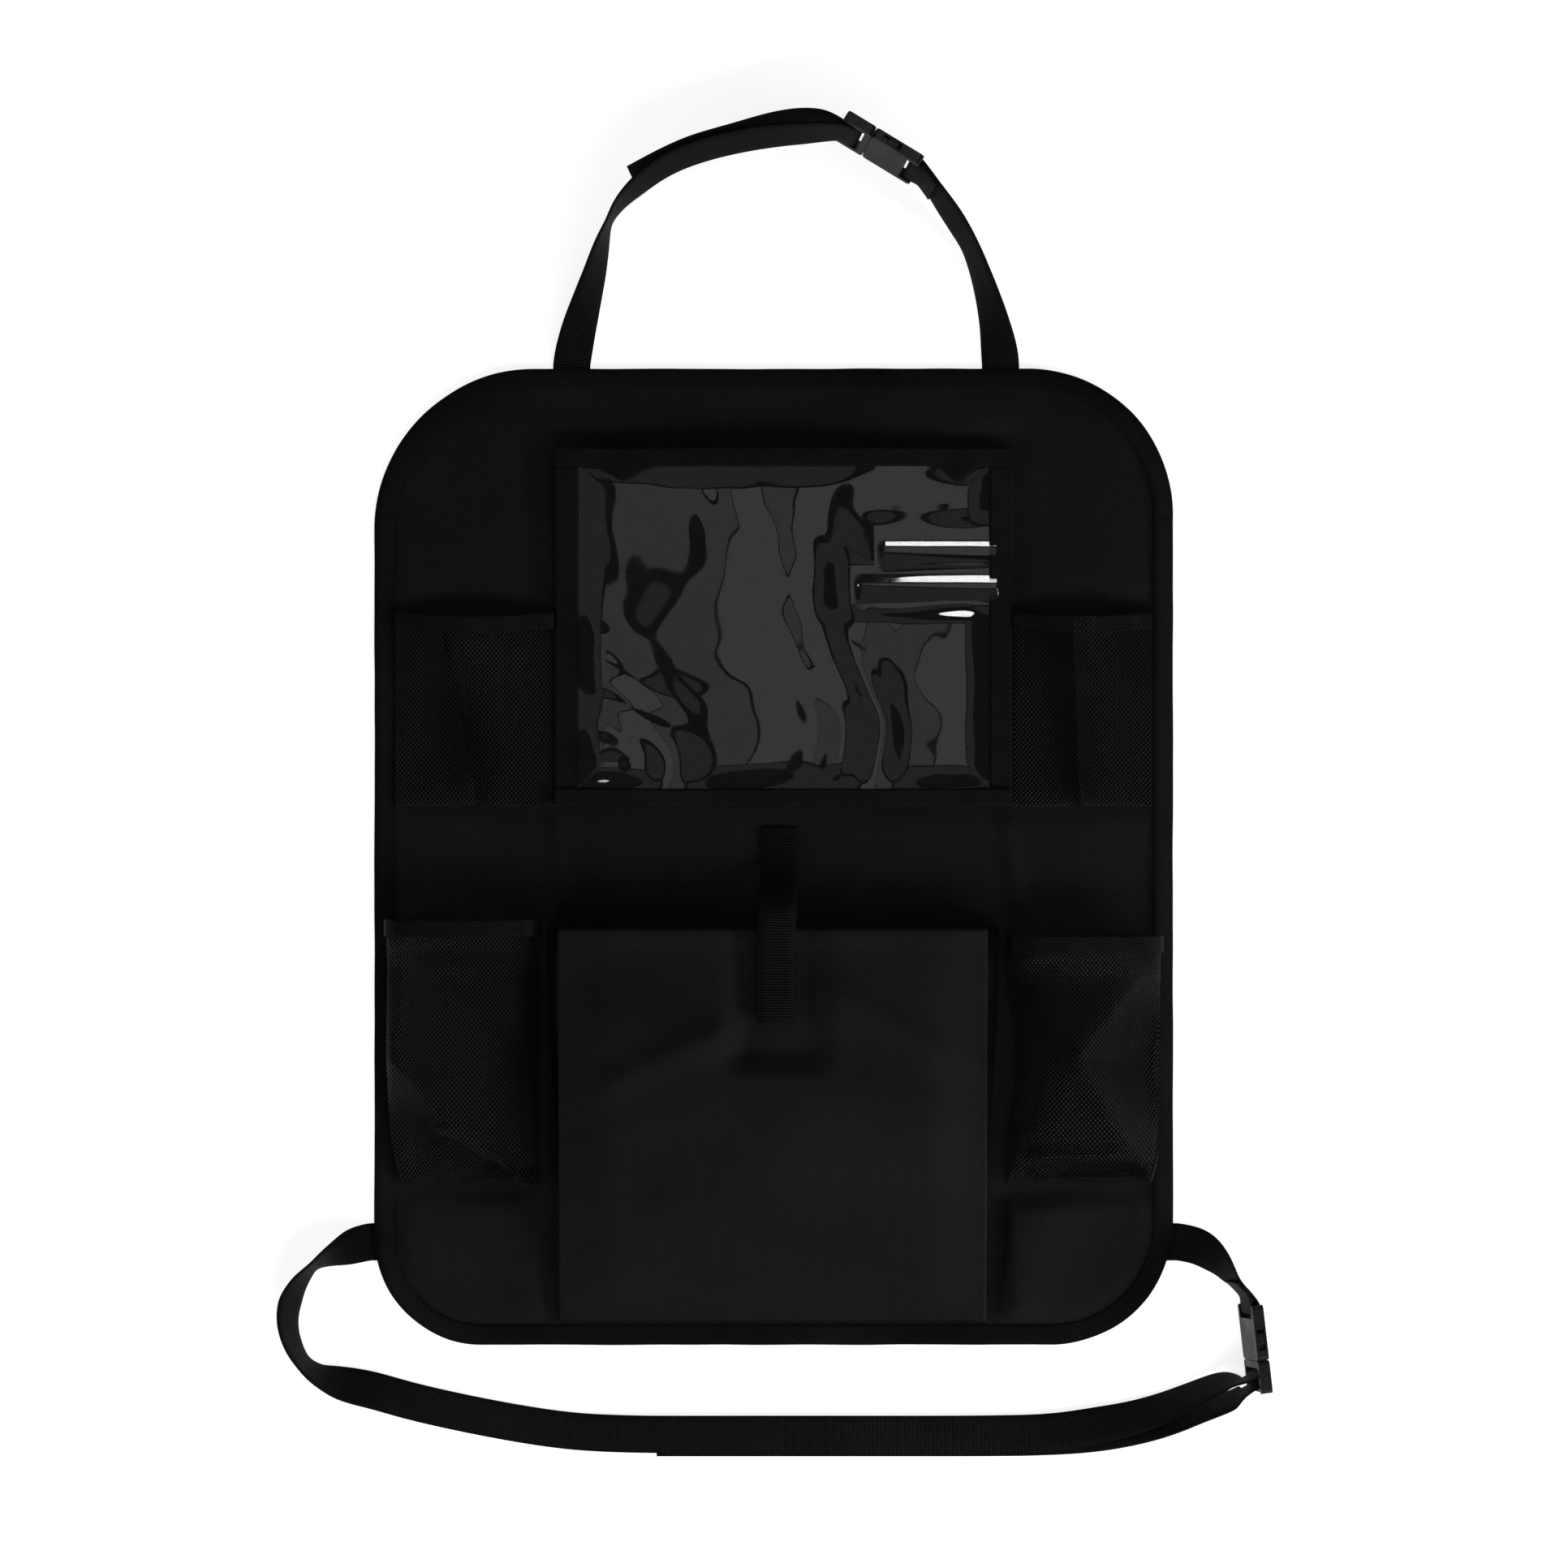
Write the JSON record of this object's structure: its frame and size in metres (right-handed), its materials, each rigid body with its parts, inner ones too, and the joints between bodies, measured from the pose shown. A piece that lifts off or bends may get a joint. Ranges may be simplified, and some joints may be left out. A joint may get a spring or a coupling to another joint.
{
  "type": "car seat back organizer",
  "caption": "Flat fabric organizer for the back of a car seat, with a clear tablet pocket, mesh pockets, a closed centre pocket and buckled straps.",
  "frame": {"origin": "middle of the panel on its back face, which is the face that lies against the seat", "axes": "+X to the organizer's right seen from the front, +Y towards its top strap, +Z out of its front"},
  "size_m": [0.5582, 0.7582, 0.0322],
  "materials": {
    "canvas": "black coated plain weave canvas, faint sheen",
    "binding_tape": "black twill binding tape, stitched",
    "clear_vinyl": "clear glossy soft sheet with slow ripples",
    "pocket_tape": "black folded tape with two rows of stitching",
    "mesh_fabric": "black open hexagonal knitted mesh",
    "hem_tape": "black ribbed hem tape, stitched",
    "webbing": "black cross-ribbed webbing",
    "hook_and_loop": "black hook and loop pile",
    "label_cloth": "blank pale woven label",
    "buckle_plastic": "black moulded acetal, satin"
  },
  "bodies": {
    "root": {"back_panel": "canvas", "edge_binding": "binding_tape", "tablet_window": "clear_vinyl", "tablet_border_left": "pocket_tape", "tablet_border_right": "pocket_tape", "tablet_border_bottom": "pocket_tape", "tablet_border_top": "pocket_tape", "upper_left_mesh": "mesh_fabric", "upper_left_hem": "hem_tape", "upper_right_mesh": "mesh_fabric", "upper_right_hem": "hem_tape", "centre_pocket_front": "canvas", "centre_pocket_gusset_left": "canvas", "centre_pocket_gusset_right": "canvas", "lower_left_mesh": "mesh_fabric", "lower_left_hem": "hem_tape", "lower_right_mesh": "mesh_fabric", "lower_right_hem": "hem_tape", "side_label": "label_cloth", "closure_loop_patch": "hook_and_loop", "closure_hook_patch": "hook_and_loop", "closure_tab": "webbing", "top_left_strap": "webbing", "top_right_strap": "webbing", "lower_left_strap": "webbing", "lower_right_strap": "webbing", "top_buckle_male": "buckle_plastic", "top_buckle_female": "buckle_plastic", "lower_buckle_male": "buckle_plastic", "lower_buckle_female": "buckle_plastic"}
  },
  "joints": []
}
